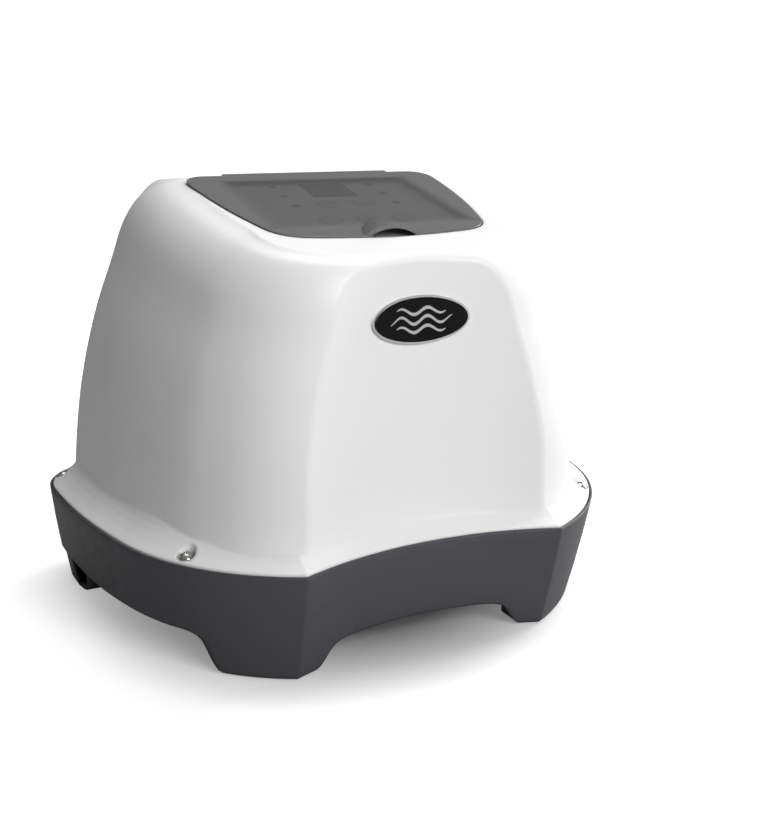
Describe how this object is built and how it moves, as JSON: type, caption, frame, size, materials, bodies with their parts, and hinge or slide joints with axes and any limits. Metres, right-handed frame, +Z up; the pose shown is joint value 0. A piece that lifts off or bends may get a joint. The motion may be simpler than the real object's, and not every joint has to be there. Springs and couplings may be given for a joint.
{
  "type": "pool water treatment control unit",
  "caption": "Free-standing pool equipment control unit: white domed cover with a concave front on a dark footed tray, with a smoked flip lid over a sloping key panel.",
  "frame": {"origin": "centre of the footprint's bounding box, on the surface the feet stand on", "axes": "+X to the right seen from the front, -Y out of the front, +Z up"},
  "size_m": [0.3214, 0.2463, 0.2456],
  "materials": {
    "dark_plastic": "fine moulded texture, semi-matte",
    "white_plastic": "smooth satin moulding",
    "black_rubber": "matte",
    "stainless": "turned, satin",
    "badge_black": "high gloss lacquer",
    "badge_silver": "satin chrome",
    "panel_grey": "fine satin",
    "display_dark": "gloss",
    "indicator": "smoked diffuser",
    "led_white": "moulded",
    "board_green": "solder mask",
    "smoked_lid": "smoked translucent, satin top",
    "key_grey": "satin with printed rings",
    "black_plastic": "moulded",
    "lamination": "varnished steel sheets",
    "bobbin": "moulded nylon",
    "winding_tape": "polyester tape",
    "zinc_steel": "zinc plated",
    "brass": "plain",
    "aluminium": "extruded",
    "capacitor_sleeve": "shrink sleeve",
    "relay_case": "moulded",
    "terminal_green": "moulded",
    "fuse_glass": "clear tube",
    "ribbon_grey": "ribbon insulation",
    "wire_red": "wire insulation",
    "wire_black": "wire insulation",
    "wire_blue": "wire insulation"
  },
  "bodies": {
    "housing": {"base_tray": "dark_plastic", "rim_seal": "black_rubber", "dome_cover": "white_plastic", "cover_screws": "stainless", "screw_washers": "stainless", "badge_plate": "badge_black", "badge_trim": "badge_silver", "badge_emblem": "badge_silver", "control_fascia": "panel_grey", "display_window": "display_dark", "display_module": "black_plastic", "indicator_light_pipes": "indicator", "indicator_leds": "led_white", "control_board": "board_green", "control_board_screws": "zinc_steel", "tact_switches": "black_plastic", "control_board_socket": "led_white", "hinge_pin": "stainless", "mains_gland": "black_plastic", "cell_lead_gland": "black_plastic", "sensor_lead_gland": "black_plastic", "gland_nuts": "black_plastic", "transformer_core": "lamination", "transformer_bobbin": "bobbin", "transformer_windings": "winding_tape", "transformer_strap": "zinc_steel", "transformer_screws": "zinc_steel", "power_board": "board_green", "board_standoffs": "brass", "board_screws": "zinc_steel", "heatsink": "aluminium", "bridge_rectifier": "black_plastic", "capacitors": "capacitor_sleeve", "relays": "relay_case", "terminal_block": "terminal_green", "fuse_clips": "zinc_steel", "fuse_link": "fuse_glass", "ribbon_socket": "led_white", "board_chips": "black_plastic", "ribbon_cable": "ribbon_grey", "mains_wires": "wire_black", "cell_wires": "wire_red", "sensor_wires": "wire_blue"},
    "lid": {"lid": "smoked_lid"},
    "key_power": {"key_power": "key_grey", "key_power_plunger": "black_plastic"},
    "key_timer": {"key_timer": "key_grey", "key_timer_plunger": "black_plastic"},
    "key_boost": {"key_boost": "key_grey", "key_boost_plunger": "black_plastic"},
    "key_clean": {"key_clean": "key_grey", "key_clean_plunger": "black_plastic"},
    "key_lock": {"key_lock": "key_grey", "key_lock_plunger": "black_plastic"}
  },
  "joints": [
    {"name": "lid_hinge", "type": "hinge", "parent": "housing", "child": "lid", "pos_m": [0, 0.05076, 0.24208], "axis": [-1, 0, 0], "range_deg": [0, 105]},
    {"name": "key_power_press", "type": "slide", "parent": "housing", "child": "key_power", "axis": [0, 0.2158, -0.9764], "range_m": [0, 0.0006], "stiffness_N_per_m": 900, "springref_m": -0.0006},
    {"name": "key_timer_press", "type": "slide", "parent": "housing", "child": "key_timer", "axis": [0, 0.2158, -0.9764], "range_m": [0, 0.0006], "stiffness_N_per_m": 900, "springref_m": -0.0006},
    {"name": "key_boost_press", "type": "slide", "parent": "housing", "child": "key_boost", "axis": [0, 0.2158, -0.9764], "range_m": [0, 0.0006], "stiffness_N_per_m": 900, "springref_m": -0.0006},
    {"name": "key_clean_press", "type": "slide", "parent": "housing", "child": "key_clean", "axis": [0, 0.2158, -0.9764], "range_m": [0, 0.0006], "stiffness_N_per_m": 900, "springref_m": -0.0006},
    {"name": "key_lock_press", "type": "slide", "parent": "housing", "child": "key_lock", "axis": [0, 0.2158, -0.9764], "range_m": [0, 0.0006], "stiffness_N_per_m": 900, "springref_m": -0.0006}
  ]
}
